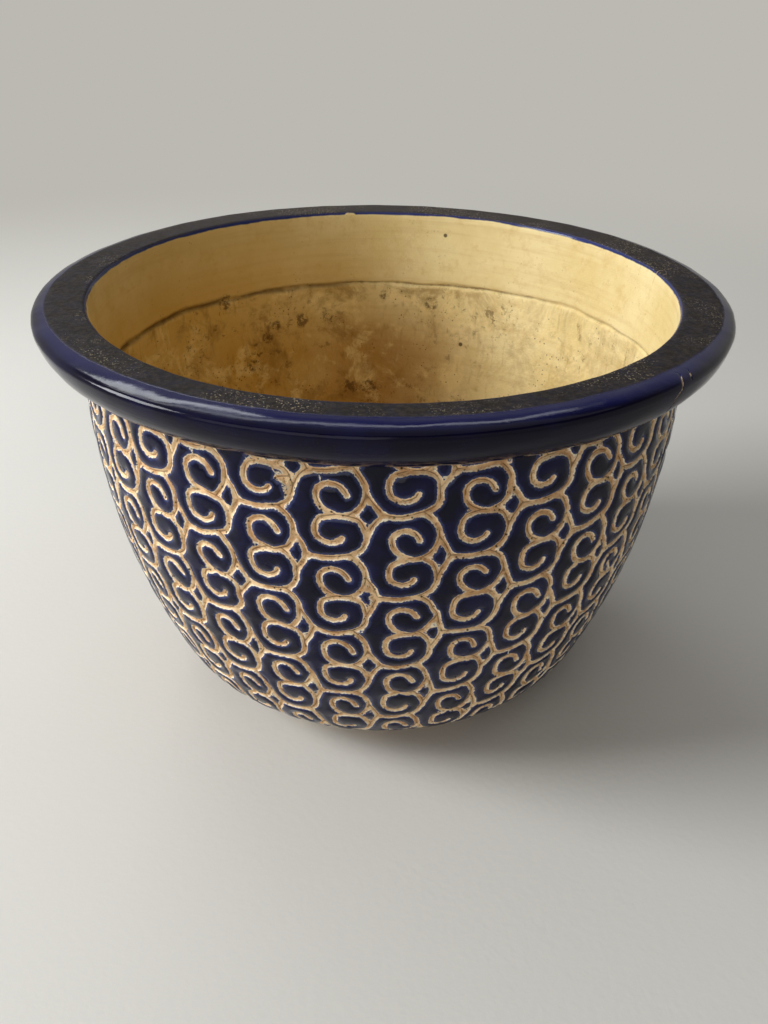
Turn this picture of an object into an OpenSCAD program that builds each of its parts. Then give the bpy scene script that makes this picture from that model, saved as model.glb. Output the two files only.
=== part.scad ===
// Cracked flower pot: a deep one-piece bowl with a heavy rolled rim, a low foot ring and a drain hole.
// One fired clay body. Origin at the middle of the foot's underside, +Z up, front towards -Y.

/* [Overall] */
// Height from the foot's underside to the flat top of the rim
height = 195; // [175:1:215]
// Outer diameter of the body at its widest place
belly_d = 269; // [230:1:330]
// Height of the widest place of the body
belly_z = 150; // [135:1:155]
// Outer diameter of the foot ring
foot_d = 168; // [140:1:176]

/* [Wall] */
// Thickness of the clay wall
wall = 7; // [5:0.5:10]
// Thickness of the floor inside the foot ring
floor_t = 9; // [6:0.5:14]
// Radius of the long sweep of the side, seen in section
sweep_r = 326; // [290:1:420]
// Radius of the outside turn from the side to the foot
heel_r = 48; // [36:1:54]
// Height of the lowest point of that turn above the foot's underside
heel_lift = 2; // [1:0.5:4]
// Radius of the inside turn from the wall to the floor
inner_heel_r = 38; // [26:1:44]

/* [Rim] */
// How far the rim's crest stands out past the body at its widest place
rim_overhang = 15.5; // [11:0.5:30]
// Width of the flat crown, from the mouth outwards
crown_w = 14; // [8:0.5:16]
// Fall from the flat crown to the crest, where the rim is widest
crest_drop = 2.6; // [2.2:0.1:4]
// Height of the whole rim, from its flat top to where its underside meets the body
rim_h = 20; // [17:0.5:24]
// How far the roll's outer face bulges past the straight way from the neck to the crest
roll_bulge = 3.4; // [2:0.1:6]
// Radius of the rounded crest
crest_r = 1.6; // [0.8:0.1:2]
// Radius of the rounded edge of the mouth
lip_r = 2.5; // [1:0.1:4]

/* [Foot] */
// Width of the foot ring
foot_w = 9; // [6:0.5:16]
// Depth of the hollow inside the foot ring
foot_hollow = 4; // [3:0.5:6]
// Diameter of the drain hole
drain_d = 25; // [10:1:40]

/* [Cracks] */
// How far below the rim's top the seam crack runs round the inside wall
seam_drop = 39; // [30:0.5:60]
// Width of the seam crack
seam_w = 1.2; // [0.6:0.1:2]
// Depth of the seam crack
seam_depth = 0.8; // [0.4:0.1:1.5]
// Direction of the crack over the rim, in degrees from the front towards +X
rim_crack_at = 43; // [0:1:90]
// Width of the crack over the rim
crack_w = 0.7; // [0.4:0.1:1.2]
// Depth of the crack over the rim
crack_depth = 1.2; // [0.6:0.1:2]
// Height that the crack runs down the rim's face
crack_h = 15; // [8:0.5:16]
// Reach of the crack from the crest inwards over the crown
crack_reach = 5; // [3:0.5:8]
// Direction of the hairline over the mouth's edge, in degrees from the front towards +X
lip_crack_at = 98; // [91:1:180]
// Width of that hairline
lip_crack_w = 0.4; // [0.3:0.1:0.8]
// Depth of that hairline
lip_crack_depth = 0.6; // [0.4:0.1:1]
// Height that it runs down the inside wall
lip_crack_h = 5; // [3:0.5:10]
// Reach of it over the crown
lip_crack_reach = 5; // [3:0.5:7]

/* [Hidden] */
$fn = 96;
clearance = 1;                        // how far a cutting shape stands clear of what it cuts
cobalt = [0.10, 0.10, 0.34];

belly_r = belly_d / 2;
rim_r = belly_r + rim_overhang;
foot_r = foot_d / 2;
mouth_r = belly_r - wall;
neck_z = height - rim_h;
seam_z = height - seam_drop;

// Middle of the circle that the side's long sweep follows
sweep_c = [belly_r - sweep_r, belly_z];

// Middle of a circle of radius r that touches the sweep of radius big_r from inside,
// with its own middle at height z
function turn_middle(big_r, r, z) =
    [sweep_c.x + sqrt(pow(big_r - r, 2) - pow(z - sweep_c.y, 2)), z];

// Where the circles of radius r about a and s about b meet, on the right of the way from a to b
function meet(a, r, b, s) =
    let(d = b - a, len = norm(d), along = (r * r - s * s + len * len) / (2 * len),
        across = sqrt(r * r - along * along))
    a + (d * along + [d.y, -d.x] * across) / len;

// Direction of p as seen from c
function bearing(c, p) = atan2(p.y - c.y, p.x - c.x);

// Points along the arc of radius r about c, from one direction to another.
// first = 1 leaves out the point that the arc before it ended on.
function arc(c, r, from, to, steps, first = 0) =
    [for (i = [first : steps]) let(a = from + (to - from) * i / steps) c + r * [cos(a), sin(a)]];

// Outside turn at the foot and inside turn at the floor
heel_c = turn_middle(sweep_r, heel_r, heel_lift + heel_r);
inner_c = turn_middle(sweep_r - wall, inner_heel_r, foot_hollow + floor_t + inner_heel_r);

// Radius at height z on a sweep of radius r about the same middle
function sweep_at(z, r) = sweep_c.x + sqrt(r * r - pow(z - sweep_c.y, 2));

// Radius of the inside wall at height z: straight above the widest place, swept below it
function inside_at(z) = z > belly_z ? mouth_r : sweep_at(z, sweep_r - wall);

// Rim: a dome that falls from the crown to the crest, the rounded crest, and the roll's face
crown_r = mouth_r + crown_w;
neck = [sweep_at(neck_z, sweep_r), neck_z];
crest_c = [rim_r - crest_r, height - crest_drop];
dome_r = (pow(crest_c.x - crown_r, 2) + pow(crest_drop, 2) - pow(crest_r, 2))
    / (2 * (crest_drop - crest_r));
dome_c = [crown_r, height - dome_r];
roll_half = norm(crest_c - neck) / 2;
roll_r = (roll_half * roll_half + roll_bulge * roll_bulge) / (2 * roll_bulge);
roll_c = meet(crest_c, roll_r - crest_r, neck, roll_r);

outer_side = concat(
    [[foot_r, 0]],
    arc(heel_c, heel_r, -acos((foot_r - heel_c.x) / heel_r), bearing(sweep_c, heel_c), 12),
    arc(sweep_c, sweep_r, bearing(sweep_c, heel_c), bearing(sweep_c, neck), 14, first = 1)
);
rim = concat(
    arc(roll_c, roll_r, bearing(roll_c, neck), bearing(roll_c, crest_c), 12, first = 1),
    arc(crest_c, crest_r, bearing(roll_c, crest_c), 0, 1, first = 1),
    arc(crest_c, crest_r, 0, bearing(dome_c, crest_c), 6, first = 1),
    arc(dome_c, dome_r, bearing(dome_c, crest_c), 90, 4, first = 1),
    arc([mouth_r + lip_r, height - lip_r], lip_r, 90, 180, 6)
);
inner_side = concat(
    arc(sweep_c, sweep_r - wall, 0, bearing(sweep_c, inner_c), 12),
    arc(inner_c, inner_heel_r, bearing(sweep_c, inner_c), -90, 12, first = 1),
    [[0, foot_hollow + floor_t]]
);
underside = [[0, foot_hollow], [foot_r - foot_w, foot_hollow], [foot_r - foot_w, 0]];

module section() {
    polygon(concat(outer_side, rim, inner_side, underside));
}

// V-shaped groove round the inside wall, where the clay has parted along its seam
module seam_crack() {
    r = inside_at(seam_z);
    rotate_extrude()
        polygon([
            [r - clearance, seam_z - seam_w / 2],
            [r, seam_z - seam_w / 2],
            [r + seam_depth, seam_z],
            [r, seam_z + seam_w / 2],
            [r - clearance, seam_z + seam_w / 2]
        ]);
}

// A thin cut in the upright plane that stands at an angle from the front
module upright_cut(at, width) {
    rotate([90, 0, at - 90])
        translate([0, 0, -width / 2])
            linear_extrude(width)
                children();
}

// Crack from the crown over the crest and down the roll's face, as deep everywhere
module rim_crack() {
    start = rim_r - crack_reach;
    upright_cut(rim_crack_at, crack_w)
        intersection() {
            polygon(concat(
                [[start, height + clearance], [start, height - crack_depth]],
                arc(roll_c, roll_r - crack_depth, bearing(roll_c, crest_c), bearing(roll_c, neck), 12),
                [[rim_r + clearance, neck_z], [rim_r + clearance, height + clearance]]
            ));
            translate([0, height - crack_h])
                square([rim_r + clearance, crack_h + clearance]);
        }
}

// Hairline over the mouth's edge, from the crown down the inside wall
module lip_crack() {
    upright_cut(lip_crack_at, lip_crack_w)
        difference() {
            translate([mouth_r - clearance, height - lip_crack_h])
                square([clearance + lip_crack_reach, lip_crack_h + clearance]);
            translate([mouth_r + lip_crack_depth, height - lip_crack_h - clearance])
                square([lip_crack_reach, lip_crack_h + clearance - lip_crack_depth]);
        }
}

module drain_hole() {
    translate([0, 0, -clearance])
        cylinder(d = drain_d, h = foot_hollow + floor_t + 2 * clearance);
}

// The whole pot: glazed outside and rim, bare clay inside
module pot() {
    color(cobalt)
        difference() {
            rotate_extrude() section();
            drain_hole();
            seam_crack();
            rim_crack();
            lip_crack();
        }
}

pot();
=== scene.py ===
import math
import random

import bmesh
import bpy
import numpy as np
from mathutils import Matrix, Vector
from mathutils.geometry import delaunay_2d_cdt


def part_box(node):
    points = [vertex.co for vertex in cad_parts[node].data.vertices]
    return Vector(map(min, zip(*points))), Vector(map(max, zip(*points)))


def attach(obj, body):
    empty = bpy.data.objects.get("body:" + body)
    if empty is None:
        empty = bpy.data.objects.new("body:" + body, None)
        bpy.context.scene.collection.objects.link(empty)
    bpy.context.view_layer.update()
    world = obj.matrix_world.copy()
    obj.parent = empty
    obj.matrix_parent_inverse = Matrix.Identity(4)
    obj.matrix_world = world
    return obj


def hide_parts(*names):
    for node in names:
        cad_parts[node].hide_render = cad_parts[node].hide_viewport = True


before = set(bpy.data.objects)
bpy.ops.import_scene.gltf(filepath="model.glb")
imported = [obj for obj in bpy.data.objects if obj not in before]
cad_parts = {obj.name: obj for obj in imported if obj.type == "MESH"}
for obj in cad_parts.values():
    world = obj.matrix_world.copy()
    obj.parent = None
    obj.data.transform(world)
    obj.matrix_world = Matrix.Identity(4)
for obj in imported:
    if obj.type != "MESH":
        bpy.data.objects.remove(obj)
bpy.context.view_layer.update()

# ---- Sizes, in millimetres ----
# Angles go round from the front (-Y) towards +X. The height and the rim's radius come from the
# frame. The rest repeats the CAD pot's section, with a slightly softer crest.
MM = 0.001
pot_low, pot_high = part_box("pot")
HEIGHT = (pot_high.z - pot_low.z) / MM
RIM_R = pot_high.x / MM

WALL = 7.0
BELLY_R = RIM_R - 15.5
BELLY_Z = 150.0
SWEEP_R = 326.0
HEEL_R, HEEL_Z = 48.0, 50.0
FOOT_R, FOOT_W, FOOT_HOLLOW = 84.0, 9.0, 4.0
FLOOR_Z = 13.0
INNER_HEEL_R = 38.0
DRAIN_R, DRAIN_ROUND = 12.5, 1.5
CROWN_W = 14.0
CREST_R, CREST_DROP = 2.6, 3.4
RIM_H = 20.0
ROLL_BULGE = 3.4
LIP_R = 2.5

MOUTH_R = BELLY_R - WALL
CROWN_R = MOUTH_R + CROWN_W
NECK_Z = HEIGHT - RIM_H
SWEEP_C = (BELLY_R - SWEEP_R, BELLY_Z)
HEEL_C = (SWEEP_C[0] + math.sqrt((SWEEP_R - HEEL_R) ** 2 - (HEEL_Z - BELLY_Z) ** 2), HEEL_Z)
NECK_TILT = math.asin((NECK_Z - BELLY_Z) / SWEEP_R)
HEEL_TILT = math.atan2(HEEL_C[1] - SWEEP_C[1], HEEL_C[0] - SWEEP_C[0])
FOOT_TILT = -math.acos((FOOT_R - HEEL_C[0]) / HEEL_R)
SWEEP_LEN = SWEEP_R * (NECK_TILT - HEEL_TILT)
WALL_LEN = SWEEP_LEN + HEEL_R * (HEEL_TILT - FOOT_TILT)

# The carved pattern: hooked cells in upright columns, each half a cell off the ones beside it
COLUMNS = 34
PITCH = 2 * math.pi / COLUMNS
FIRST_EDGE = math.radians(8.4)
TILE_W, TILE_H = 24.0, 36.5
GROOVE_HALF = 1.2
GROOVE_EDGE = GROOVE_HALF + 0.15
GROOVE_DEPTH = 1.25
EDGE_DEPTH = 0.35

# Steps of the mesh: on carved lines above and below a distance from the neck, and round a ring
ROW_STEP, LOW_ROW_STEP, LOW_ROWS_FROM = 1.95, 2.6, 150.0
RING_STEPS = 204

# Least gaps between its points: on a line, beside it, on a ridge and on a wide place
LINE_GAP, BESIDE_GAP, RIDGE_GAP, LOOSE_GAP = 0.8, 0.52, 1.2, 1.6
GRID_STEP, LOOSE_STRIDE = 0.8, 3

# What stands for out of reach of a groove or crack, and of the seam
FAR, FAR_SEAM = 9.0, 99.0

# A cell's outline and curls, in millimetres on its tile, x rightwards, y down. Lines join at the
# named knots.
KNOTS = {
    "top_left": (4.6, 0.2),
    "top_right": (19.0, -0.5),
    "fork": (24.1, 9.6),
    "notch": (18.5, 18.5),
    "meet": (24.1, 27.0),
    "stem": (13.5, 18.6),
}
UPPER_LOBE = ["top_right", (22.2, 2.8), (23.8, 6.4), "fork", (23.2, 13.4), (21.2, 16.7), "notch"]
LOWER_LOBE = ["notch", (21.6, 20.4), (23.4, 23.4), "meet", (23.8, 30.2), (22.4, 33.4), "next_top_right"]
TOP_LINE = ["top_left", (11.5, 0.9), "top_right"]
FORK_LINE = ["fork", (26.4, 13.6), "neighbour"]
MEET_LINE = ["neighbour", (26.4, 22.4), "meet"]
STEM = ["notch", (16.2, 18.9), "stem"]
UPPER_CURL = ["stem", (9.8, 16.0), (8.0, 12.0), (8.5, 8.0), (12.0, 5.8), (16.0, 7.0), (18.2, 10.3)]
LOWER_CURL = ["stem", (8.6, 20.5), (7.2, 24.5), (8.0, 28.8), (12.2, 31.0), (15.8, 29.6), (16.5, 28.2)]
CURL_MIDDLES = {"upper": (13.0, 11.5), "lower": (12.5, 25.0)}

# Slips of the carving tool: short extra cuts, as (column, points in degrees and millimetres down)
SLIPS = [
    (32, [(-15.4, 8.5), (-14.4, 8.0), (-13.5, 8.3)]),
    (32, [(-14.3, 10.0), (-13.9, 14.0)]),
    (0, [(-1.7, 52.5), (-1.3, 57.5)]),
    (4, [(46.2, 70.0), (47.3, 74.5)]),
]

# Where the clay has parted. A crack is the way it follows, its angle, where it starts and stops on
# that way, its depth and half its width.
SEAM_Z = HEIGHT - 39.0
SEAM_HALF, SEAM_DEPTH = 0.7, 0.9
CRACKS = (
    ("rim", math.radians(43.0), -0.8, 15.5, 1.0, 0.36),
    ("rim", math.radians(45.4), 0.2, 4.6, 0.5, 0.22),
    ("lip", math.radians(98.0), 0.0, 13.0, 0.6, 0.3),
)
RIM_CRACKS_AT = math.radians(44.2)
LIP_CRACK_AT = CRACKS[2][1]

# Spots of old soil and pits on the inside wall, as (angle in degrees, radius, height, size)
SOIL = [
    (-135.5, 127.5, HEIGHT - 43, 6.0),
    (-149.7, 127.0, HEIGHT - 63, 4.0),
    (-146.9, 126.5, HEIGHT - 69, 4.5),
    (-143.5, 126.0, HEIGHT - 75, 5.5),
    (-141.3, 125.3, HEIGHT - 83, 5.0),
    (-157.0, 127.0, HEIGHT - 62, 5.5),
    (-164.5, 127.0, HEIGHT - 62, 4.0),
    (180.0, 127.5, HEIGHT - 49, 3.5),
    (167.0, 127.4, HEIGHT - 53, 5.0),
    (-170.0, 121.7, HEIGHT - 106, 6.0),
    (-175.5, 121.6, HEIGHT - 106, 6.5),
]
PITS = [(164, MOUTH_R, HEIGHT - 12, 1.4), (158, 126.5, HEIGHT - 76, 1.6)]


def smooth(x, low, high):
    """0 below low, 1 above high, and a smooth rise between."""
    t = np.clip((np.asarray(x, float) - low) / (high - low), 0.0, 1.0)
    return t * t * (3 - 2 * t)


def turn_back(angle):
    """The same angle, between minus and plus half a turn."""
    return (angle + math.pi) % (2 * math.pi) - math.pi


# ---- Section of the pot, as rows of radius, height and outward normal ----
def outside_wall(n):
    """The wall, n millimetres down it from the neck."""
    n = np.asarray(n, float)
    on_heel = n > SWEEP_LEN
    tilt = np.where(on_heel, HEEL_TILT - (n - SWEEP_LEN) / HEEL_R, NECK_TILT - n / SWEEP_R)
    nr, nz = np.cos(tilt), np.sin(tilt)
    r = np.where(on_heel, HEEL_C[0] + HEEL_R * nr, SWEEP_C[0] + SWEEP_R * nr)
    z = np.where(on_heel, HEEL_C[1] + HEEL_R * nz, SWEEP_C[1] + SWEEP_R * nz)
    return r, z, nr, nz


def circles_meet(a, ra, b, rb):
    """Where two circles meet, on the right of the way from a to b."""
    dx, dz = b[0] - a[0], b[1] - a[1]
    gap = math.hypot(dx, dz)
    along = (ra * ra - rb * rb + gap * gap) / (2 * gap)
    across = math.sqrt(ra * ra - along * along)
    return a[0] + (dx * along + dz * across) / gap, a[1] + (dz * along - dx * across) / gap


def arc(centre, radius, start, end, steps):
    """Rows along an arc, from one direction to another, without its last point."""
    turns = [start + (end - start) * i / steps for i in range(steps)]
    normals = [(math.cos(t), math.sin(t)) for t in turns]
    return [(centre[0] + radius * nr, centre[1] + radius * nz, nr, nz) for nr, nz in normals]


def bearing(centre, point):
    return math.atan2(point[1] - centre[1], point[0] - centre[0])


def rim_rows():
    """The rim from the neck, up the roll, over the crest and crown to the mouth's edge."""
    neck = (SWEEP_C[0] + SWEEP_R * math.cos(NECK_TILT), NECK_Z)
    crest = (RIM_R - CREST_R, HEIGHT - CREST_DROP)
    dome_r = ((crest[0] - CROWN_R) ** 2 + CREST_DROP**2 - CREST_R**2) / (2 * (CREST_DROP - CREST_R))
    dome = (CROWN_R, HEIGHT - dome_r)
    half = math.hypot(crest[0] - neck[0], crest[1] - neck[1]) / 2
    roll_r = (half * half + ROLL_BULGE * ROLL_BULGE) / (2 * ROLL_BULGE)
    roll = circles_meet(crest, roll_r - CREST_R, neck, roll_r)
    lip = (MOUTH_R + LIP_R, HEIGHT - LIP_R)
    top = math.pi / 2
    rows = arc(roll, roll_r, bearing(roll, neck), bearing(roll, crest), 16)
    rows += arc(crest, CREST_R, bearing(roll, crest), bearing(dome, crest), 6)
    rows += arc(dome, dome_r, bearing(dome, crest), top, 5)
    rows += [(CROWN_R - (CROWN_R - lip[0]) * i / 6, HEIGHT, 0.0, 1.0) for i in range(6)]
    return rows + arc(lip, LIP_R, top, math.pi, 6)


def inside_rows():
    """The inside, from below the mouth's edge to the drain hole."""
    inner_r, inner_z = SWEEP_R - WALL, FLOOR_Z + INNER_HEEL_R
    reach = math.sqrt((inner_r - INNER_HEEL_R) ** 2 - (inner_z - BELLY_Z) ** 2)
    inner = (SWEEP_C[0] + reach, inner_z)
    turn = bearing(SWEEP_C, inner)
    near_seam = [-9.0, -6.0, -3.5, -2.0, -1.2, -SEAM_HALF, 0.0, SEAM_HALF, 1.2, 2.0, 3.5]
    heights = [HEIGHT - LIP_R - step for step in (0.0, 1.2, 3.0, 5.5, 9.0, 13.0, 17.0, 21.0, 24.0)]
    heights += [SEAM_Z - step for step in near_seam]
    swept = [row for row in arc(SWEEP_C, inner_r, 0.0, turn, 22) if row[1] < SEAM_Z - 5.0]
    swept += arc(inner, INNER_HEEL_R, turn, -math.pi / 2, 14)
    rows = [(MOUTH_R, z, -1.0, 0.0) for z in heights]
    rows += [(r, z, -nr, -nz) for r, z, nr, nz in swept]
    hole = DRAIN_R + DRAIN_ROUND
    return rows + [(inner[0] + (hole - inner[0]) * i / 8, FLOOR_Z, 0.0, 1.0) for i in range(9)]


def under_rows():
    """The drain hole and the underside, to where the foot meets the wall."""
    hole, ring = DRAIN_R + 1.2, FOOT_R - FOOT_W
    edge = (DRAIN_R + DRAIN_ROUND, FLOOR_Z - DRAIN_ROUND)
    rows = arc(edge, DRAIN_ROUND, math.pi / 2, math.pi, 3)[1:]
    rows += [(DRAIN_R, z, -1.0, 0.0) for z in (edge[1], edge[1] - 3.0, FOOT_HOLLOW + 1.2)]
    rows += [(hole + (ring - 1.5 - hole) * i / 8, FOOT_HOLLOW, 0.0, -1.0) for i in range(9)]
    rows += [(ring, z, -1.0, 0.0) for z in (FOOT_HOLLOW - 1.2, 1.0)]
    rows += [(r, 0.0, 0.0, -1.0) for r in (ring + 1.0, ring + 4.5, FOOT_R - 1.0)]
    return rows + [(FOOT_R, z, 1.0, 0.0) for z in (1.0, 2.8)]


# ---- The carved pattern's centrelines, as (angle, distance down from the neck) ----
def row_line(w):
    """Distance from the neck down to the top of row w. Rows get taller towards the foot."""
    return 20.3 + 35.6 * w + 1.27 * w * w


def warp(angle):
    """The columns are laid out by hand, so their widths drift a little round the pot."""
    return angle + math.radians(0.45) * np.sin(4 * angle) + math.radians(0.3) * np.sin(2 * angle)


def spline(points, steps_for):
    """Smooth curve through points. steps_for gives the steps from one to the next."""
    pts = [np.array(p, float) for p in points]
    pts = [2 * pts[0] - pts[1]] + pts + [2 * pts[-1] - pts[-2]]
    curve = []
    for a, b, c, d in zip(pts, pts[1:], pts[2:], pts[3:]):
        steps = steps_for(b, c)
        for i in range(steps):
            t = i / steps
            bend = (2 * a - 5 * b + 4 * c - d) * t * t + (3 * b - a - 3 * c + d) * t**3
            curve.append(0.5 * (2 * b + (c - a) * t + bend))
    curve.append(pts[-2])
    return np.array(curve)


class Pattern:
    """The hand-carved cells: the same drawing everywhere, with each knot and curl a little off."""

    ROWS = 6

    def __init__(self, seed):
        rng = random.Random(seed)
        self.knots = {}
        self.curls = {}
        for column in range(COLUMNS):
            for row in range(self.ROWS + 1):
                for name, (x, y) in KNOTS.items():
                    self.knots[name, column, row] = (x + rng.gauss(0, 0.45), y + rng.gauss(0, 0.45))
                for name in CURL_MIDDLES:
                    self.curls[name, column, row] = (rng.gauss(1, 0.06), rng.gauss(0, 0.09))

    def top(self, column):
        """Row number of a column's first cell, which the rim cuts."""
        return -1.0 if column % 2 == 0 else -1.5

    def place(self, column, row, point):
        """Angle and distance from the neck of a point on a cell's tile."""
        angle = warp(FIRST_EDGE + (column - 1 + point[0] / TILE_W) * PITCH)
        return angle, row_line(self.top(column) + row + point[1] / TILE_H)

    def knot(self, name, column, row):
        if name == "next_top_right":
            x, y = self.knots["top_right", column, row + 1]
            return x, y + TILE_H
        if name == "neighbour":
            beside = (column + 1) % COLUMNS
            below = int(row + (self.top(column) + 0.5 - self.top(beside)))
            x, y = self.knots.get(("top_left", beside, below), KNOTS["top_left"])
            return x + TILE_W, y + TILE_H / 2
        return self.knots[name, column, row]

    def bent(self, curl, column, row, point):
        """A curl's point, with the curl grown and turned about its middle as this cell has it."""
        grow, turn = self.curls[curl, column, row]
        mx, my = CURL_MIDDLES[curl]
        dx, dy = (point[0] - mx) * grow, (point[1] - my) * grow
        c, s = math.cos(turn), math.sin(turn)
        return mx + dx * c - dy * s, my + dx * s + dy * c

    def line(self, points, column, row, curl=None):
        """One carved line of a cell, with a point at about every ROW_STEP."""
        spots = []
        for point in points:
            if isinstance(point, str):
                point = self.knot(point, column, row)
            elif curl:
                point = self.bent(curl, column, row, point)
            spots.append(point)

        def steps_for(a, b):
            (ta, na), (tb, nb) = self.place(column, row, a), self.place(column, row, b)
            r = float(outside_wall(min(max((na + nb) / 2, 0), WALL_LEN))[0])
            step = ROW_STEP if (na + nb) / 2 < LOW_ROWS_FROM else LOW_ROW_STEP
            return max(1, round(math.hypot((tb - ta) * r, nb - na) / step))

        return np.array([self.place(column, row, p) for p in spline(spots, steps_for)])

    def border(self, column):
        """A column's whole right outline, cut at the neck and at the foot."""
        lobes = [(lobe, row) for row in range(self.ROWS) for lobe in (UPPER_LOBE, LOWER_LOBE)]
        path = np.concatenate([self.line(lobe, column, row)[:-1] for lobe, row in lobes])
        inside = (path[:, 1] > 0.6) & (path[:, 1] < WALL_LEN - 0.6)
        ends = [(np.interp(n, path[:, 1], path[:, 0]), n) for n in (0.0, WALL_LEN)]
        return np.array([ends[0], *path[inside], ends[1]])

    def inner_lines(self, column):
        """The lines inside a column and its left neighbour's forks, with whether each ends free."""
        curls = [(UPPER_CURL, column, "upper"), (LOWER_CURL, column, "lower")]
        forks = [(line, (column - 1) % COLUMNS, None) for line in (FORK_LINE, MEET_LINE)]
        drawn = [(TOP_LINE, column, None), (STEM, column, None), *curls, *forks]
        lines = [
            (self.line(points, where, row, curl), bool(curl))
            for row in range(self.ROWS)
            for points, where, curl in drawn
        ]
        slips = [points for where, points in SLIPS if where == column]
        return lines + [(np.array([(math.radians(a), n) for a, n in slip]), True) for slip in slips]


# ---- Mesh of the carved wall, one column at a time ----
# A column is laid flat: x is millimetres round from its middle angle, y millimetres down the wall.
def lay_flat(spots, middle):
    spots = np.asarray(spots, float).reshape(-1, 2)
    r = outside_wall(np.clip(spots[:, 1], 0, WALL_LEN))[0]
    return np.stack([turn_back(spots[:, 0] - middle) * r, spots[:, 1]], 1)


def stand_up(flat, middle):
    r = outside_wall(np.clip(flat[:, 1], 0, WALL_LEN))[0]
    return np.stack([flat[:, 0] / r + middle, flat[:, 1]], 1)


def nearest(points, starts, ends):
    """Distance from each point to the nearest segment, found in bands down the wall."""
    found = np.full(len(points), FAR)
    upper, lower = np.minimum(starts[:, 1], ends[:, 1]), np.maximum(starts[:, 1], ends[:, 1])
    band = 20.0
    for low in np.arange(-FAR, WALL_LEN + FAR, band):
        mine = (points[:, 1] >= low) & (points[:, 1] < low + band)
        near = (upper < low + band + FAR) & (lower > low - FAR)
        if mine.any() and near.any():
            p, a, b = points[mine][:, None], starts[near][None], ends[near][None]
            along = b - a
            size = np.maximum((along**2).sum(-1), 1e-9)
            t = np.clip(((p - a) * along).sum(-1) / size, 0, 1)
            gap = p - a - along * t[..., None]
            found[mine] = np.minimum(found[mine], np.sqrt((gap**2).sum(-1)).min(1))
    return found


class Spacing:
    """Keeps points that are no nearer to the ones kept before than a given gap."""

    CELL = 1.3

    def __init__(self, points):
        self.cells = {}
        for x, y in points:
            self.keep(x, y)

    def keep(self, x, y):
        self.cells.setdefault((x // self.CELL, y // self.CELL), []).append((x, y))

    def clear(self, x, y, gap):
        """Whether no kept point is nearer than the gap."""
        reach = gap // self.CELL + 1
        steps = np.arange(-reach, reach + 1)
        return all(
            (a - x) ** 2 + (b - y) ** 2 >= gap * gap
            for i in steps
            for j in steps
            for a, b in self.cells.get((x // self.CELL + i, y // self.CELL + j), ())
        )

    def sift(self, points, gap):
        """The points of a list that are clear, each kept as it is found."""
        kept = []
        for x, y in points:
            if self.clear(x, y, gap):
                self.keep(x, y)
                kept.append((x, y))
        return kept


def beside_line(line, offset):
    """A row of points beside a line laid flat."""
    ahead = np.gradient(line, axis=0)
    ahead /= np.maximum(np.linalg.norm(ahead, axis=1, keepdims=True), 1e-9)
    return line + offset * np.stack([-ahead[:, 1], ahead[:, 0]], 1)


def round_tip(line, radius):
    """Points round the free end of a line laid flat."""
    ahead = math.atan2(*(line[-1] - line[-2])[::-1])
    turns = ahead + np.linspace(-math.pi / 2, math.pi / 2, 5 if radius > 1 else 3)
    return line[-1] + radius * np.stack([np.cos(turns), np.sin(turns)], 1)


def within(points, outline):
    """Which points lie inside a closed outline."""
    a, b = outline, np.roll(outline, -1, axis=0)
    x, y = points[:, :1], points[:, 1:]
    rise = np.where(b[:, 1] == a[:, 1], 1e-12, b[:, 1] - a[:, 1])
    cut = a[:, 0] + (y - a[:, 1]) / rise * (b[:, 0] - a[:, 0])
    crossed = ((a[:, 1] > y) != (b[:, 1] > y)) & (x < cut)
    return crossed.sum(1) % 2 == 1


def column_points(left, right, lines, starts, ends):
    """Points inside one column, in rows along its grooves and loosely between them."""
    spacing = Spacing(np.concatenate([left, right]))
    kept = []

    def inside(points, margin):
        x0 = np.interp(points[:, 1], left[:, 1], left[:, 0])
        x1 = np.interp(points[:, 1], right[:, 1], right[:, 0])
        ok = (points[:, 0] > x0 + margin) & (points[:, 0] < x1 - margin)
        return points[ok & (points[:, 1] > 0.7) & (points[:, 1] < WALL_LEN - 0.7)]

    for line, _ in lines:
        kept += spacing.sift(inside(line, 0.4), LINE_GAP)
    for offset in (GROOVE_HALF / 2, GROOVE_HALF):
        rows = []
        for line, free in lines + [(left, False), (right, False)]:
            rows += [beside_line(line, offset), beside_line(line, -offset)]
            if free:
                rows.append(round_tip(line, offset))
        rows = inside(np.concatenate(rows), 0.3)
        true = np.abs(nearest(rows, starts, ends) - offset) < 0.14
        kept += spacing.sift(rows[true], BESIDE_GAP)

    both = np.concatenate([left[:, 0], right[:, 0]])
    ridge, loose = between_grooves(both.min(), both.max(), starts, ends)
    kept += spacing.sift(inside(ridge, 0.5), RIDGE_GAP)
    kept += spacing.sift(inside(loose, 0.8), LOOSE_GAP)
    return np.array(kept)


def between_grooves(low, high, starts, ends):
    """Points along the middles of narrow places, and loose ones on wide places."""
    across = np.arange(low, high, GRID_STEP)
    down = np.arange(1.2, WALL_LEN - 1.2, GRID_STEP)
    spots = np.stack(np.meshgrid(across, down), -1)
    gap = nearest(spots.reshape(-1, 2), starts, ends).reshape(len(down), len(across))
    slope = np.hypot(*np.gradient(gap, GRID_STEP))
    on_ridge = (slope < 0.7) & (gap > GROOVE_HALF + 0.25) & (gap < 4.6)
    order = np.argsort(slope[on_ridge], kind="stable")
    wide = np.zeros_like(on_ridge)
    wide[::LOOSE_STRIDE, ::LOOSE_STRIDE] = True
    loose = spots[wide & (gap > GROOVE_HALF + 1.0)]
    rng = np.random.default_rng(5)
    return spots[on_ridge][order], loose + rng.uniform(-0.5, 0.5, loose.shape)


def steps_between(a, b):
    """Points at about ROW_STEP between two, without them."""
    steps = max(2, round(abs(b[0] - a[0]) / ROW_STEP))
    return [a + (b - a) * i / steps for i in range(1, steps)]


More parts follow.
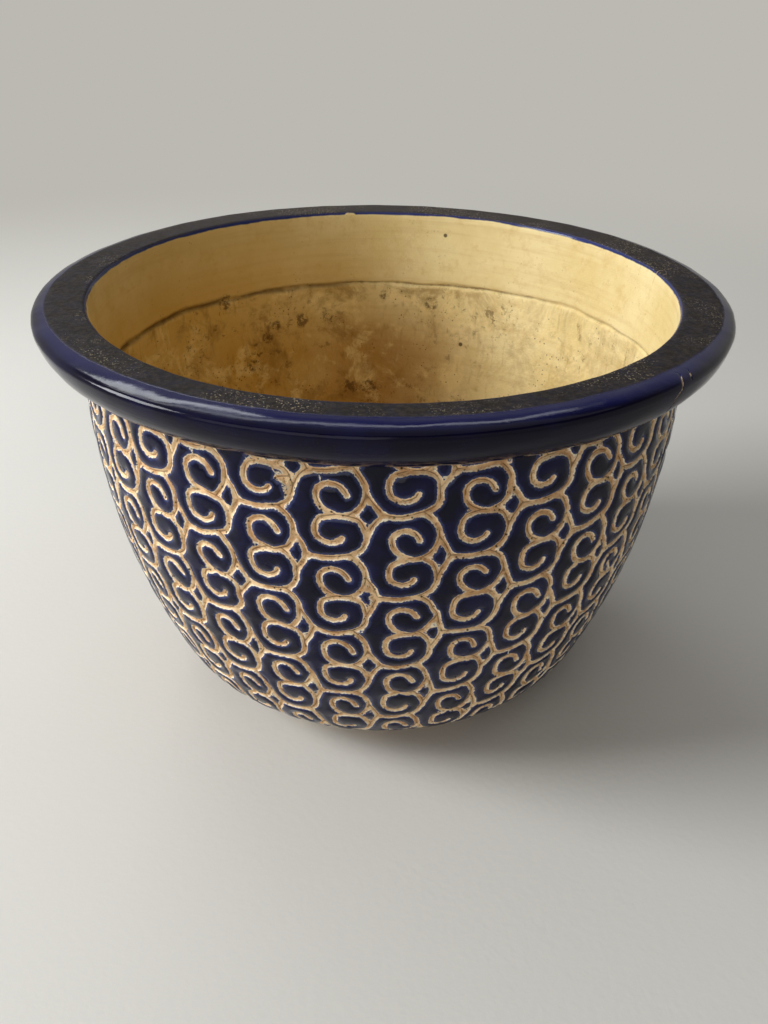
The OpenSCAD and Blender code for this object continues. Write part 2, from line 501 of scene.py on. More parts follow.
def carve_wall():
    """Spots (angle, distance down), triangles, groove distances and the wall's two end rings."""
    pattern = Pattern(seed=11)
    spots, faces, borders, top_ring, foot_ring = [], [], [], [], []
    for column in range(COLUMNS):
        path = pattern.border(column)
        borders.append(list(range(len(spots), len(spots) + len(path))))
        spots += path.tolist()
    gaps = [0.0] * len(spots)
    own = [pattern.inner_lines(c) for c in range(COLUMNS)]
    for column in range(COLUMNS):
        middle = FIRST_EDGE + (column - 0.5) * PITCH
        around = [(column + step) % COLUMNS for step in (-2, -1, 0, 1)]
        edges = [lay_flat([spots[i] for i in borders[c]], middle) for c in around]
        lines = [[(lay_flat(line, middle), free) for line, free in own[c]] for c in around[1:]]
        near = [line for group in lines for line, _ in group] + edges
        starts = np.concatenate([line[:-1] for line in near])
        ends = np.concatenate([line[1:] for line in near])
        left, right = edges[1:3]
        inner = column_points(left, right, lines[1], starts, ends)
        top, foot = steps_between(left[0], right[0]), steps_between(left[-1], right[-1])
        new = np.array([*top, *foot, *inner])
        ids = list(range(len(spots), len(spots) + len(new)))
        top_ids, foot_ids = ids[: len(top)], ids[len(top) : len(top) + len(foot)]
        spots += stand_up(new, middle).tolist()
        gaps += list(nearest(new, starts, ends))

        left_ids, right_ids = borders[column - 1], borders[column]
        loop = [*top_ids, *right_ids, *foot_ids[::-1], *left_ids[::-1]]
        outline = np.array([*top, *right, *foot[::-1], *left[::-1]])
        ids = loop + ids[len(top) + len(foot) :]
        points = np.array([*outline, *inner])
        sides = [(i, (i + 1) % len(loop)) for i in range(len(loop))]
        made = delaunay_2d_cdt([Vector(p) for p in points], sides, [], 0, 1e-6, True)
        made = np.array([[made[3][v][0] for v in face] for face in made[2]])
        made = made[within(points[made].mean(1), outline)]
        faces += [[ids[v] for v in face] for face in made]
        top_ring += [left_ids[0], *top_ids]
        foot_ring += [left_ids[-1], *foot_ids]
    return np.array(spots), faces, np.array(gaps), top_ring, foot_ring


def wall_relief(angle, n, gap):
    """How far the wall stands out from the CAD wall: grooves, pillowed glaze and a wobble."""
    groove = GROOVE_DEPTH - (GROOVE_DEPTH - EDGE_DEPTH) * smooth(gap, 0.35, GROOVE_EDGE)
    pillow = EDGE_DEPTH * np.exp(-np.maximum(gap - GROOVE_EDGE, 0) / 1.2)
    depth = np.where(gap < GROOVE_EDGE, groove, pillow)
    ends = smooth(n, 0.0, 1.4) * smooth(WALL_LEN - n, 0.0, 2.5)
    wobble = 0.12 * np.sin(5 * angle + n / 21.0) + 0.1 * np.sin(11 * angle - n / 13.0)
    return -ends * (depth + 0.22 + wobble)


# ---- Mesh of the rim, the inside and the underside, in rings ----
def crack_drift(way, s):
    """How far round a crack strays from its angle, s millimetres along it."""
    if way == "rim":
        lean = 0.6 - 0.38 * (np.clip(s, -1.0, 7.0) - 3.0)
        return np.radians(lean + 0.12 * np.sin(s / 2.6) + 0.1 * np.sin(s / 0.9 + 1))
    return math.radians(0.3) * np.sin(s / 1.7)


def live(s, start, stop):
    """1 along a crack and 0 past its ends."""
    return smooth(s, start, start + 1.5) * (1 - smooth(s, stop - 2.0, stop))


def beside(angles, at, inner, outer):
    """1 within inner degrees of an angle, and 0 past outer degrees."""
    return 1 - smooth(np.abs(turn_back(angles - at)), math.radians(inner), math.radians(outer))


def ring_angles():
    """Angles of the rings' points: even steps, with a few more close beside each crack."""
    even = [2 * math.pi * i / RING_STEPS for i in range(RING_STEPS)]
    at = [crack[1] for crack in CRACKS]
    offsets = [math.radians(a) for a in (-1.1, -0.6, -0.3, -0.14, 0.0, 0.14, 0.3, 0.6, 1.1)]
    clear = [a for a in even if all(abs(turn_back(a - c)) > math.radians(1.6) for c in at)]
    return np.array(sorted(clear + [c + o for c in at for o in offsets]))


def seam_height(angle):
    """The seam crack wanders up and down as it goes round, in waves of seeded phases."""
    rng = random.Random(3)
    waves = ((1, 1.3), (2, 1.1), (3, 0.7), (7, 0.35), (13, 0.3), (29, 0.22))
    drift = sum(size * np.sin(order * angle + rng.uniform(0, 2 * math.pi)) for order, size in waves)
    return SEAM_Z + drift - 0.6


def ring_spots(rows, rim_count):
    """Every ring point, with the seam, the cracks and the hand-made unevenness."""
    angles = ring_angles()
    r, z, nr, nz = (column[:, None] for column in np.array(rows).T)
    along = np.concatenate([[0], np.cumsum(np.hypot(np.diff(r[:, 0]), np.diff(z[:, 0])))])[:, None]
    theta = np.tile(angles, (len(rows), 1))
    on_rim = np.arange(len(rows))[:, None] < rim_count
    inside = ~on_rim & (r < MOUTH_R + 0.01) & (z > FLOOR_Z - 0.01)

    # the rim cracks start on the crown 6 mm in from the crest, and lean as they run down the roll
    crest_at = along[np.argmax(r[:rim_count, 0])]
    ways = {"rim": crest_at + 6.0 - along, "lip": along - along[rim_count] + 9.0}
    rim_s, lip_s = ways.values()
    leans = beside(angles, RIM_CRACKS_AT, 2.6, 6.5) * smooth(rim_s, -6.0, -0.8)
    theta += crack_drift("rim", rim_s) * leans * (1 - smooth(rim_s, 15.5, 17.5))
    leans = beside(angles, LIP_CRACK_AT, 0.65, 1.1) * live(lip_s, 0.0, 13.0)
    theta += crack_drift("lip", lip_s) * leans
    gaps = np.full(theta.shape, FAR)
    depth = np.zeros(theta.shape)
    for way, at, start, stop, deep, half in CRACKS:
        s = ways[way]
        here = live(s, start, stop)
        off = np.abs(turn_back(theta - at - crack_drift(way, s))) * r
        gaps = np.minimum(gaps, np.where(here > 0, off + 3 * (1 - here), FAR))
        depth += deep * here * np.clip(1 - off / half, 0, 1)

    # inside: the seam, throwing lines, and a ledge and a rougher skin below the seam
    seam_z = seam_height(theta)
    near_seam = inside * (1 - smooth(np.abs(z - SEAM_Z), 14.0, 26.0))
    z_now = z + (seam_z - SEAM_Z) * near_seam
    from_seam = np.where(inside, z_now - seam_z, FAR_SEAM)
    width = SEAM_HALF * (1.0 + 0.35 * np.sin(9 * theta + 1) + 0.25 * np.sin(23 * theta))
    depth += inside * SEAM_DEPTH * np.clip(1.25 - np.abs(from_seam) / (width * 1.2), 0, 1)
    ledge = inside * 0.14 * smooth(-from_seam, 0.0, 2.0) * (1 - smooth(-from_seam, 8, 30))
    rings = inside * 0.06 * (1 + np.sin(z_now / 1.35 + 0.6 * np.sin(3 * theta)))
    rough = inside * 0.16 * (1 + np.sin(17 * theta + z_now / 5.0) * np.sin(z_now / 4.1 + 6 * theta))

    # the roll is thrown by hand: its face swells and dips a little, never out of the CAD rim
    swell = 0.14 * (1 + np.sin(6 * theta + 0.8) * np.sin(2 * theta))
    swell += 0.05 * (1 + np.sin(31 * theta))
    lumps = 0.05 * (1 + np.sin(19 * theta + along / 4.0) * np.sin(43 * theta - along / 3.0))
    uneven = on_rim * (swell + lumps) * smooth(along, 0.0, 4.0)
    inward = depth + uneven + rings + rough * smooth(-from_seam, 0, 6) - ledge
    inward[-1] = 0.0
    return theta, r - nr * inward, z_now - nz * inward, gaps, from_seam


def zip_rings(one, two):
    """Triangles between two closed rings, given as (points, angles), whose points don't match."""
    a, b = (sorted(zip([x % (2 * math.pi) for x in angles], ids)) for ids, angles in (one, two))
    for ring in (a, b):
        ring.append((ring[0][0] + 2 * math.pi, ring[0][1]))
    faces = []
    i = j = 0
    while i + j < len(a) + len(b) - 2:
        on_a = j + 1 == len(b) or (i + 1 < len(a) and a[i + 1][0] <= b[j + 1][0])
        faces.append((a[i][1], a[i + 1][1] if on_a else b[j + 1][1], b[j][1]))
        i, j = (i + 1, j) if on_a else (i, j + 1)
    return faces


def make_pot_mesh():
    """One closed skin: carved wall, rim, inside, floor, drain hole and foot."""
    spots, faces, gaps, top_ring, foot_ring = carve_wall()
    theta, n = spots.T
    r, z, nr, nz = outside_wall(n)
    relief = wall_relief(theta, n, gaps)

    rim, inside, under = rim_rows()[1:], inside_rows(), under_rows()
    rows = rim + inside + under
    ring_theta, ring_r, ring_z, crack_gap, from_seam = ring_spots(rows, len(rim) + 1)
    ids = len(spots) + np.arange(ring_theta.size).reshape(ring_theta.shape)
    ahead = np.roll(ids, -1, axis=1)
    around = np.stack([ids[:-1], ahead[:-1], ahead[1:], ids[1:]], -1).reshape(-1, 4)
    top_zip = zip_rings((top_ring, theta[top_ring]), (ids[0].tolist(), ring_theta[0]))
    foot_zip = zip_rings((foot_ring, theta[foot_ring]), (ids[-1].tolist(), ring_theta[-1]))

    # which material each face takes, by its place in make_pot's list
    across = len(ids[0])
    counts = [len(faces), (len(rim) + 3) * across, (len(inside) - 3) * across]
    counts += [(len(under) - 1) * across, len(top_zip), len(foot_zip)]
    part = np.repeat(np.array([0, 1, 2, 3, 1, 3], np.int32), counts)

    faces = [*faces, *around.tolist(), *top_zip, *foot_zip]
    theta = np.concatenate([theta, ring_theta.ravel()])
    r = np.concatenate([r + nr * relief, ring_r.ravel()])
    z = np.concatenate([z + nz * relief, ring_z.ravel()])
    points = np.stack([r * np.sin(theta), -r * np.cos(theta), z], 1) * MM
    mesh = bpy.data.meshes.new("pot_skin")
    mesh.from_pydata(points.tolist(), [], faces)
    work = bmesh.new()
    work.from_mesh(mesh)
    bmesh.ops.recalc_face_normals(work, faces=work.faces)
    work.to_mesh(mesh)
    work.free()

    # numbers at every vertex, for the materials to read
    values = {
        "groove": (gaps, np.full(ring_theta.size, FAR)),
        "crack": (np.full(len(spots), FAR), crack_gap.ravel()),
        "seam": (np.full(len(spots), FAR_SEAM), from_seam.ravel()),
    }
    for name, pair in values.items():
        layer = mesh.attributes.new(name, "FLOAT", "POINT")
        layer.data.foreach_set("value", np.concatenate(pair).astype(np.float32))
    mesh.polygons.foreach_set("material_index", part)
    mesh.polygons.foreach_set("use_smooth", np.ones(len(faces), bool))
    mesh.validate()
    mesh.update()
    return mesh


# ---- Materials ----
def srgb(r, g, b):
    """A colour written as 0 to 255, in the shader's linear values."""
    parts = [v / 255 for v in (r, g, b)]
    return (*(v / 12.92 if v <= 0.04045 else ((v + 0.055) / 1.055) ** 2.4 for v in parts), 1.0)


class Nodes:
    """A node tree. Most calls add a node and return the socket that carries its result."""

    def __init__(self, tree):
        self.tree = tree

    def add(self, kind, feeds=None, **settings):
        """A new node, with sockets or plain values fed to its inputs."""
        node = self.tree.nodes.new("ShaderNode" + kind)
        for key, value in settings.items():
            setattr(node, key, value)
        return self.feed(node, feeds or {})

    def feed(self, node, feeds):
        for name, value in feeds.items():
            if isinstance(value, bpy.types.NodeSocket):
                self.tree.links.new(value, node.inputs[name])
            else:
                node.inputs[name].default_value = value
        return node

    def math(self, operation, first, *others):
        """An operation on two values, or on more of them one after another."""
        for other in others or (0.0,):
            node = self.add("Math", {0: first, 1: other}, operation=operation)
            first = node.outputs[0]
        return first

    def plus(self, first, *others):
        return self.math("ADD", first, *others)

    def times(self, first, *others):
        return self.math("MULTIPLY", first, *others) if others else first

    def most(self, first, *others):
        return self.math("MAXIMUM", first, *others)

    def ramp(self, value, low, high, start=0.0, end=1.0):
        """start below low, end above high, smooth between."""
        feeds = {"Value": value, "From Min": low, "From Max": high, "To Min": start, "To Max": end}
        return self.add("MapRange", feeds, interpolation_type="SMOOTHSTEP").outputs["Result"]

    def seen_directly(self):
        """1 for what the camera sees, directly or in gloss or glass, and 0 for light on things."""
        ray = self.add("LightPath").outputs
        return self.most(ray["Is Camera Ray"], ray["Is Glossy Ray"], ray["Is Transmission Ray"])

    def choose(self, output, factor, usual, other):
        """Ends the tree in one shader where the factor is 0 and in another where it is 1."""
        either = self.add("MixShader", {0: factor, 1: usual.outputs[0], 2: other.outputs[0]})
        self.feed(self.tree.nodes[output], {"Surface": either.outputs[0]})


class Paint(Nodes):
    """One material's nodes. A noise is written as its scale, detail, roughness and distortion."""

    def __init__(self, name):
        self.material = bpy.data.materials.new(name)
        self.material.use_nodes = True
        super().__init__(self.material.node_tree)
        self.shader = self.tree.nodes["Principled BSDF"]
        self.place = self.add("TexCoord").outputs["Object"]
        split = self.add("SeparateXYZ", {0: self.place}).outputs
        self.x, self.y = split["X"], split["Y"]
        # millimetres above the foot and from the pot's axis
        self.z = self.times(split["Z"], 1000.0)
        across = self.plus(self.times(self.x, self.x), self.times(self.y, self.y))
        self.r = self.times(self.math("SQRT", across), 1000.0)

    def attribute(self, name):
        return self.add("Attribute", attribute_name=name).outputs["Fac"]

    def noise(self, scale, detail=3.0, roughness=0.5, distortion=0.0, stretch=None):
        """Noise from 0 to 1, drawn out by a factor on each axis where a stretch is given."""
        place = self.place
        if stretch:
            place = self.add("Mapping", {"Vector": place, "Scale": stretch}).outputs["Vector"]
        feeds = {"Vector": place, "Scale": scale, "Detail": detail, "Roughness": roughness}
        node = self.add("TexNoise", {**feeds, "Distortion": distortion})
        return node.outputs["Fac"]

    def stray(self, size, *noise):
        """Noise of the given size about nought."""
        return self.times(self.math("SUBTRACT", self.noise(*noise), 0.5), size)

    def patch(self, noise, low, high, start=0.0, end=1.0):
        """Noise as patches: start below low, end above high."""
        return self.ramp(self.noise(*noise), low, high, start, end)

    def specks(self, scale, outer, inner):
        """Scattered dots, 0 past the outer radius and 1 in the inner one, both in cells."""
        node = self.add("TexVoronoi", {"Vector": self.place, "Scale": scale})
        return self.ramp(node.outputs["Distance"], outer, inner)

    def near(self, angle, radius, height, size):
        """1 at a spot given by its angle in degrees, radius and height, and 0 past its size."""
        turn = math.radians(angle)
        spot = (radius * math.sin(turn) * MM, -radius * math.cos(turn) * MM, height * MM)
        node = self.add("VectorMath", {0: self.place, 1: spot}, operation="DISTANCE")
        return self.ramp(node.outputs["Value"], size * MM, size * MM * 0.55)

    def mix(self, factor, a, b):
        """A colour between a and b."""
        node = self.add("Mix", {"Factor": factor, 6: a, 7: b}, data_type="RGBA")
        return node.outputs[2]

    def blend(self, factor, a, b):
        """A number between a and b."""
        return self.add("Mix", {0: factor, 2: a, 3: b}, data_type="FLOAT").outputs[0]

    def tones(self, value, low, high, dark, light):
        """A dark colour below low, a light one above high, smooth between."""
        return self.mix(self.ramp(value, low, high), srgb(*dark), srgb(*light))

    def layers(self, under, *layers):
        """Colours laid over what is under them, each as strong as its masks together."""
        for colour, *masks in layers:
            under = self.mix(self.times(*masks), under, srgb(*colour))
        return under

    def bump(self, height, distance, under=None):
        """Relief of height times distance, in metres."""
        feeds = {"Strength": 1.0, "Distance": distance, "Height": height}
        if under is not None:
            feeds["Normal"] = under
        return self.add("Bump", feeds).outputs["Normal"]

    def done(self, colour, roughness, normal, specular):
        feeds = {"Base Color": colour, "Roughness": roughness, "Normal": normal}
        self.feed(self.shader, {**feeds, "Specular IOR Level": specular})
        return self.material


GLAZE_SPECULAR = 0.18
RIM_SPECULAR = 0.15
CLAY_SPECULAR = 0.08
PAPER_SPECULAR = 0.3
CLAY_ROUGH = 0.9


def carved_glaze():
    """Cobalt glaze on the cells and bare clay in the cuts between them."""
    mat = Paint("carved_glaze")
    gap = mat.attribute("groove")
    ragged = mat.plus(gap, mat.stray(0.7, 200, 2.0), mat.stray(1.1, 1000, 3.0, 0.65))
    glazed = mat.ramp(ragged, 1.12, 1.3)
    broken = mat.patch((190, 3.0), 0.4, 0.54)
    cut_darkening = mat.patch((620, 4.0, 0.7), 0.54, 0.64)
    slip = mat.patch((300, 2.0), 0.36, 0.56, 0.25)
    dots = mat.times(mat.specks(430, 0.24, 0.14), mat.patch((75,), 0.42, 0.56))
    edge = mat.times(mat.specks(560, 0.27, 0.17), mat.ramp(gap, 0.75, 1.0), mat.patch((110,), 0.44, 0.56))
    clay = mat.layers(
        mat.tones(mat.noise(140, 4.0, 0.62), 0.36, 0.64, (208, 164, 116), (242, 210, 164)),
        # paler at the edges of a cut
        ((252, 241, 218), mat.ramp(ragged, 0.72, 1.05), slip, 0.9),
        # a dark broken line where the tool went deepest, and a darker band beside it
        ((92, 62, 38), mat.ramp(gap, 0.36, 0.1), broken, 0.72),
        ((138, 98, 62), mat.ramp(gap, 1.2, 0.5), cut_darkening, 0.6),
        ((34, 24, 20), mat.most(dots, edge), 0.9),
    )

    # the glaze is thinner beside a cut, and has crawled back beside two cells
    streak = mat.noise(70, 3.0, 0.55, 0.6)
    thick = mat.tones(streak, 0.38, 0.66, (6, 6, 31), (12, 13, 56))
    crawl = mat.most(mat.near(29.2, 133.6, 140.0, 2.6), mat.near(30.4, 133.3, 131.0, 3.4))
    glaze = mat.layers(
        mat.mix(mat.ramp(ragged, 1.25, 2.5), srgb(54, 62, 103), thick),
        ((170, 140, 104), crawl, mat.patch((420, 3.0), 0.52, 0.6), 0.8),
    )
    colour = mat.mix(glazed, clay, glaze)
    rough = mat.blend(glazed, 0.86, mat.ramp(streak, 0.3, 0.75, 0.07, 0.15))
    grit = mat.times(mat.noise(1700, 3.0, 0.6), mat.math("SUBTRACT", 1.0, glazed))
    normal = mat.bump(mat.plus(grit, mat.times(glazed, 1.1)), 0.00022)
    normal = mat.bump(mat.noise(200, 2.0), 0.00012, normal)
    return mat.done(colour, rough, normal, GLAZE_SPECULAR)


def bare_clay(mat):
    """Buff clay as (colour, normal): throwing lines, painted shade low and left, stains and soil below
    the seam.
    """
    x, z = mat.x, mat.z
    seam = mat.attribute("seam")
    below = mat.ramp(seam, 1.5, -3.0)
    stained = mat.times(below, mat.ramp(x, 0.1, 0.0, 0.45))
    lines = mat.noise(130, 3.0, 0.6, stretch=(0.12, 0.12, 2.2))
    runs = mat.noise(230, 4.0, 0.65, stretch=(1.0, 1.0, 0.22))
    # painted shade: the next two masks darken the lower left of the inside and make its left side
    # yellower
    low = mat.times(mat.ramp(z, 150, 110), mat.ramp(x, 0.08, -0.01, 0.0, 0.8))
    left_shade = mat.times(mat.ramp(z, 190, 152, 0.35), mat.ramp(x, 0.03, -0.11))
    spots = mat.times(below, mat.patch((20, 3.0, 0.6), 0.42, 0.62))
    soil = mat.most(*(mat.near(*spot) for spot in SOIL))
    pits = mat.most(*(mat.near(*pit) for pit in PITS))
    pepper = mat.times(mat.specks(360, 0.2, 0.1), mat.patch((50,), 0.5, 0.62))

    # the seam crack, with dirt round it on the left
    wide = mat.plus(mat.math("ABSOLUTE", seam), mat.times(mat.noise(120, 4.0, 0.7), 3.2))
    crack = mat.times(mat.ramp(wide, 2.8, 1.2), mat.patch((22, 2.0), 0.3, 0.6, 0.35))
    dirty = mat.times(mat.ramp(wide, 4.4, 1.6), mat.ramp(x, 0.02, -0.06), mat.patch((60, 3.0), 0.3, 0.6))
    clay = mat.layers(
        mat.tones(mat.noise(26, 5.0, 0.62), 0.3, 0.7, (221, 198, 138), (234, 215, 163)),
        ((200, 168, 112), mat.ramp(lines, 0.45, 0.75, 0.0, 0.3)),
        ((190, 150, 82), mat.patch((120, 7.0, 0.75), 0.5, 0.68, 0.0, 0.26)),
        # painted shade: darker low down and yellower on the left side, where less light reaches the
        # inside
        ((152, 98, 24), low, mat.patch((17, 4.0, 0.6), 0.3, 0.6, 0.55)),
        ((206, 160, 68), left_shade, mat.patch((9, 2.0), 0.2, 0.6, 0.6), 0.8),
        # worn pale, clouded, spotted and soiled
        ((246, 222, 158), stained, mat.patch((48, 6.0, 0.66, 0.4), 0.5, 0.64), 0.5),
        ((140, 104, 50), stained, mat.patch((30, 8.0, 0.74, 0.5), 0.47, 0.62), 0.6),
        ((98, 70, 38), spots, mat.patch((150, 7.0, 0.76, 0.25), 0.54, 0.64), 0.62),
        ((74, 50, 22), soil, mat.patch((260, 6.0, 0.75), 0.46, 0.57), 0.72),
        ((60, 42, 28), pits, 0.85),
        ((138, 100, 50), stained, mat.ramp(runs, 0.55, 0.7), 0.35),
        ((66, 46, 30), pepper, mat.ramp(seam, 6.0, -2.0, 0.25, 0.8)),
        ((92, 64, 32), mat.most(crack, dirty), mat.ramp(x, 0.03, 0.11, 0.88, 0.5)),
    )
    grain = mat.bump(mat.noise(900, 5.0, 0.7), 0.00025)
    return clay, mat.bump(mat.times(mat.noise(130, 5.0, 0.65), below), 0.0009, grain)


def inner_clay():
    mat = Paint("inner_clay")
    clay, normal = bare_clay(mat)
    return mat.done(clay, CLAY_ROUGH, normal, CLAY_SPECULAR)


def foot_clay():
    """The unglazed underside: clay rubbed grey where it stands."""
    mat = Paint("foot_clay")
    clay = mat.layers(
        mat.tones(mat.noise(60, 5.0, 0.65), 0.35, 0.65, (196, 168, 124), (220, 196, 152)),
        ((120, 104, 84), mat.ramp(mat.z, 1.4, 0.2), mat.patch((130, 4.0), 0.4, 0.6), 0.6),
    )
    normal = mat.bump(mat.noise(700, 5.0, 0.7), 0.0003)
    return mat.done(clay, 0.92, normal, CLAY_SPECULAR)


def rim_glaze():
    """Glossy cobalt on the roll, dust on the flat crown, bare clay below the mouth's edge."""
    mat = Paint("rim_glaze")
    r, y, z = mat.r, mat.y, mat.z
    streak = mat.noise(45, 3.0, 0.55, 0.5)
    glaze = mat.layers(
        mat.tones(streak, 0.38, 0.66, (5, 3, 26), (8, 7, 42)),
        # painted light: a brighter blue over the top of the roll, near the crest
        ((10, 16, 82), mat.ramp(z, 193.7, 194.8), 0.55),
        # the glaze runs thin and paler over the mouth's edge; part of this paleness is painted light
        ((52, 60, 112), mat.ramp(r, 131.0, 129.0), 0.75),
    )

    # dust lies on the crown, and reaches nearer to the crest at the back than at the front
    edge = mat.plus(r, mat.stray(2.2, 60, 5.0, 0.7), mat.ramp(y, -0.15, -0.02, 6.4, 0.6))
    dust = mat.times(mat.ramp(edge, 146.6, 144.9), mat.ramp(z, 192.6, 193.3), mat.ramp(r, 128.0, 129.0))
    film = mat.times(dust, mat.patch((160, 5.0, 0.7), 0.25, 0.7, 0.8))
    grey = mat.layers(
        mat.tones(mat.noise(420, 5.0, 0.75), 0.42, 0.62, (30, 26, 22), (51, 44, 36)),
        ((66, 59, 49), mat.ramp(y, 0.0, 0.14), 0.55),
    )
    heaps = mat.most(mat.patch((26, 3.0), 0.48, 0.62), mat.near(169, 138, HEIGHT, 16.0))
    heaps = mat.times(heaps, dust)
    dusty = mat.layers(
        mat.mix(film, glaze, grey),
        ((134, 121, 100), heaps, mat.patch((900, 3.0, 0.75), 0.57, 0.66), 0.8),
        ((160, 147, 124), heaps, mat.specks(760, 0.22, 0.12)),
    )

    # the glaze ends raggedly just under the mouth's edge, higher where it is chipped at the back
    clay, _ = bare_clay(mat)
    chip = mat.times(mat.near(-171, 128.5, HEIGHT - 2, 3.6), -0.9)
    end = mat.plus(z, mat.stray(1.8, 60, 4.0, 0.6), chip)
    bare = mat.times(mat.ramp(end, 193.4, 192.8), mat.ramp(r, 129.5, 128.6))
    nick = mat.ramp(mat.plus(mat.attribute("crack"), mat.stray(0.9, 900, 3.0)), 0.5, 0.26)
    fade = mat.times(mat.ramp(r, 136.0, 142.0, 0.35, 0.95), mat.ramp(z, 188.5, 191.8, 0.22))
    colour = mat.layers(mat.mix(bare, dusty, clay), ((204, 178, 146), nick, fade))
    dull = mat.most(film, bare, nick)
    rough = mat.blend(dull, mat.ramp(streak, 0.3, 0.75, 0.1, 0.17), 0.85)
    ripple = mat.bump(mat.noise(36, 2.0), 0.00025)
    ripple = mat.bump(mat.noise(90, 3.0, 0.6, stretch=(1.0, 1.0, 5.0)), 0.0001, ripple)
    normal = mat.bump(mat.times(mat.noise(1100, 4.0, 0.7), dull), 0.00022, ripple)
    return mat.done(colour, rough, normal, RIM_SPECULAR)


# ---- Baking layout: the wall, rim and inside as strips, the floor and underside as discs ----
UV_SCALE = 1 / 900.0
UV_MARGIN = 0.012
STRIP_LENGTHS = (WALL_LEN + 6.0, 66.0, 152.0)
DISC_R = 104.0
FLOOR_DISC_TOP = 50.0


def read(items, name, width=1):
    """A property of all of a mesh's items: a whole number each, or a row of numbers."""
    values = np.zeros(len(items) * width, float if width > 1 else np.int32)
    items.foreach_get(name, values)
    return values.reshape(-1, width).squeeze()


def add_layout(mesh):
    """The unrolled layout that textures are baked in."""
    corner = read(mesh.loops, "vertex_index")
    owner = np.repeat(np.arange(len(mesh.polygons)), read(mesh.polygons, "loop_total"))
    part = read(mesh.polygons, "material_index")[owner]
    x, y, z = (read(mesh.vertices, "co", 3) / MM)[corner].T
    face_x, face_y, face_z = (read(mesh.polygons, "center", 3) / MM)[owner].T
    face_theta = np.arctan2(face_x, -face_y)
    theta = face_theta + turn_back(np.arctan2(x, -y) - face_theta)
    r = np.hypot(x, y)

    # each strip starts below the one before, and the discs are side by side below them all
    starts = np.cumsum([UV_MARGIN, *(UV_MARGIN + length * UV_SCALE for length in STRIP_LENGTHS)])
    on_floor = (part == 2) & (face_z < FLOOR_DISC_TOP)
    under = part == 3
    hole = under & (np.hypot(face_x, face_y) < DRAIN_R + 1.0)
    grow = np.where(hole, 1 - 0.5 * (z - FOOT_HOLLOW) / (FLOOR_Z - FOOT_HOLLOW), 1.0)
    disc_v = starts[3] + (DISC_R + y * grow) * UV_SCALE
    strips = (wall_distance(r, z), rim_distance(r, z), HEIGHT - z)
    strip_v = [start + down * UV_SCALE for start, down in zip(starts, strips)]
    v = np.select([part == 0, part == 1, on_floor | under], [*strip_v[:2], disc_v], strip_v[2])
    u = np.select(
        [on_floor, under],
        [UV_MARGIN + (DISC_R + x) * UV_SCALE, 2 * UV_MARGIN + (3.1 * DISC_R + x * grow) * UV_SCALE],
        2 * UV_MARGIN + (theta + math.pi) * BELLY_R * UV_SCALE,
    )
    layer = mesh.uv_layers.new(name="OFBake")
    layer.data.foreach_set("uv", np.stack([u, v], 1).ravel().astype(np.float32))


def wall_distance(r, z):
    """Distance down the outside wall of a point on it."""
    on_sweep = (NECK_TILT - np.arctan2(z - SWEEP_C[1], r - SWEEP_C[0])) * SWEEP_R
    on_heel = SWEEP_LEN + (HEEL_TILT - np.arctan2(z - HEEL_C[1], r - HEEL_C[0])) * HEEL_R
    return np.where(on_sweep > SWEEP_LEN, on_heel, on_sweep)


def rim_distance(r, z):
    """Distance over the rim from the neck to below the mouth's edge, which never turns back."""
    up = np.clip(z - NECK_Z, 0, RIM_H) * 1.25
    over = np.where(z > HEIGHT - CREST_DROP, RIM_R - r, 0)
    down = 25 + RIM_R - MOUTH_R + (HEIGHT - z) * 1.2
    return np.where(r < MOUTH_R + LIP_R, down, up + over)


# ---- Scene ----
BACKGROUND = srgb(187, 185, 178)
BACKGROUND_STARTS = (350.0, 1250.0)
FLOOR_REACH = 30.0
ROOM_COLOUR = (0.98, 0.95, 0.91, 1.0)
ROOM_STRENGTH = 0.08
LAMP_AIM = (0, 0, HEIGHT * MM * 0.6)

# The camera's lens in millimetres, its turns in radians, and its place in metres
LENS, SENSOR = 29.58, 36.0
PITCH_DOWN, YAW, ROLL = 0.568101, 0.003670, 0.013839
CAMERA_BACK, CAMERA_ABOVE_RIM = 0.37396, 0.11469


def add_object(name, data):
    thing = bpy.data.objects.new(name, data)
    bpy.context.scene.collection.objects.link(thing)
    return thing


def make_pot():
    mesh = make_pot_mesh()
    for material in (carved_glaze(), rim_glaze(), inner_clay(), foot_clay()):
        mesh.materials.append(material)
    add_layout(mesh)
    pot = add_object("glazed_pot", mesh)
    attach(pot, "root")
    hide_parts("pot")


def make_floor():
    """A plain pale floor. Far from the pot it takes the even colour of the background."""
    mesh = bpy.data.meshes.new("studio_floor")
    work = bmesh.new()
    bmesh.ops.create_circle(work, cap_ends=True, segments=96, radius=FLOOR_REACH)
    work.to_mesh(mesh)
    work.free()
    mat = Paint("studio_paper")
    tone = mat.tones(mat.noise(1.2, 2.0), 0.3, 0.7, (206, 203, 196), (214, 211, 204))
    mat.done(tone, 0.75, mat.bump(mat.noise(300, 2.0), 0.0001), PAPER_SPECULAR)
    far = mat.times(mat.ramp(mat.r, *BACKGROUND_STARTS), mat.seen_directly())
    glow = mat.add("Emission", {"Color": BACKGROUND})
    mat.choose("Material Output", far, mat.shader, glow)
    mesh.materials.append(mat.material)
    add_object("studio_floor", mesh)


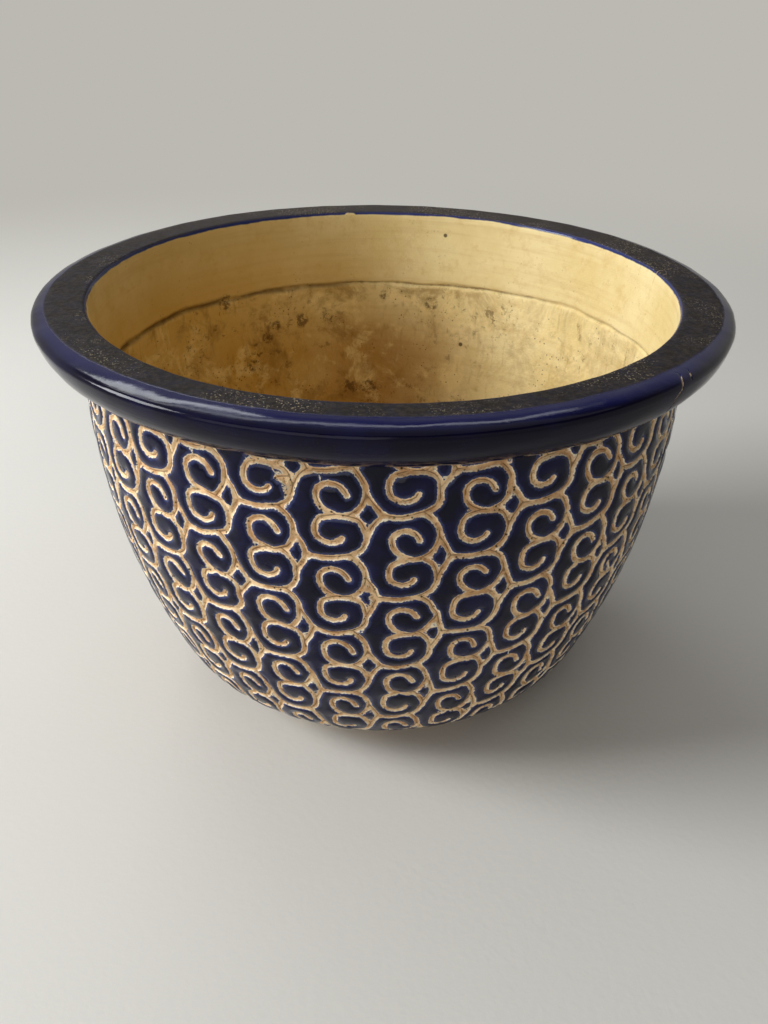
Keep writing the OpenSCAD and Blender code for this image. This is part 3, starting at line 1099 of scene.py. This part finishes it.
def make_room():
    """A dim room, which the camera sees as the plain background, darker overhead."""
    world = bpy.data.worlds.new("room")
    world.use_nodes = True
    room = Nodes(world.node_tree)
    feeds = {"Color": ROOM_COLOUR, "Strength": ROOM_STRENGTH}
    dim = room.feed(room.tree.nodes["Background"], feeds)
    way = room.add("TexCoord").outputs["Generated"]
    up = room.add("SeparateXYZ", {0: way}).outputs["Z"]
    feeds = {"Color": BACKGROUND, "Strength": room.ramp(up, 0.42, 0.66, 1.0, 0.2)}
    pale = room.add("Background", feeds)
    room.choose("World Output", room.seen_directly(), dim, pale)
    bpy.context.scene.world = world


def add_lamp(name, at, size, power, colour):
    light = bpy.data.lights.new(name, "AREA")
    light.shape = "RECTANGLE"
    light.size, light.size_y = size
    light.energy = power
    light.color = colour
    lamp = add_object(name, light)
    lamp.location = at
    lamp.visible_camera = False
    lamp.rotation_euler = (Vector(LAMP_AIM) - Vector(at)).to_track_quat("-Z", "Y").to_euler()


def make_lights():
    """A soft window on the left, strips behind, a wide ceiling, a weak fill and a front light."""
    add_lamp("window", (-1.85, -0.2, 1.15), (0.9, 0.9), 51.0, (0.95, 0.98, 1.0))
    add_lamp("skylight", (-0.3, 1.0, 1.36), (1.9, 0.14), 3.5, (0.96, 0.98, 1.0))
    add_lamp("high window", (-0.6, 1.0, 1.1), (0.6, 0.2), 3.0, (0.95, 0.98, 1.0))
    add_lamp("ceiling", (-0.2, 0.15, 2.2), (3.4, 3.0), 14.0, (0.97, 0.98, 1.0))
    add_lamp("fill", (0.9, -1.3, 1.0), (1.2, 0.8), 0.4, (1.0, 0.95, 0.86))
    add_lamp("front", (-0.8, -1.6, 0.75), (2.0, 1.2), 9.6, (1.0, 0.98, 0.95))


def make_camera():
    """Above and in front of the pot, looking down into it."""
    data = bpy.data.cameras.new("camera")
    data.lens, data.sensor_width = LENS, SENSOR
    camera = add_object("camera", data)
    camera.matrix_world = Matrix.Translation((0, -CAMERA_BACK, pot_high.z + CAMERA_ABOVE_RIM))
    for angle, axis in ((-YAW, "Z"), (math.pi / 2 - PITCH_DOWN, "X"), (ROLL, "Z")):
        camera.matrix_world @= Matrix.Rotation(angle, 4, axis)
    bpy.context.scene.camera = camera


bpy.context.scene.view_settings.view_transform = "Standard"
make_camera()
make_room()
make_lights()
make_floor()
make_pot()

bpy.context.view_layer.update()
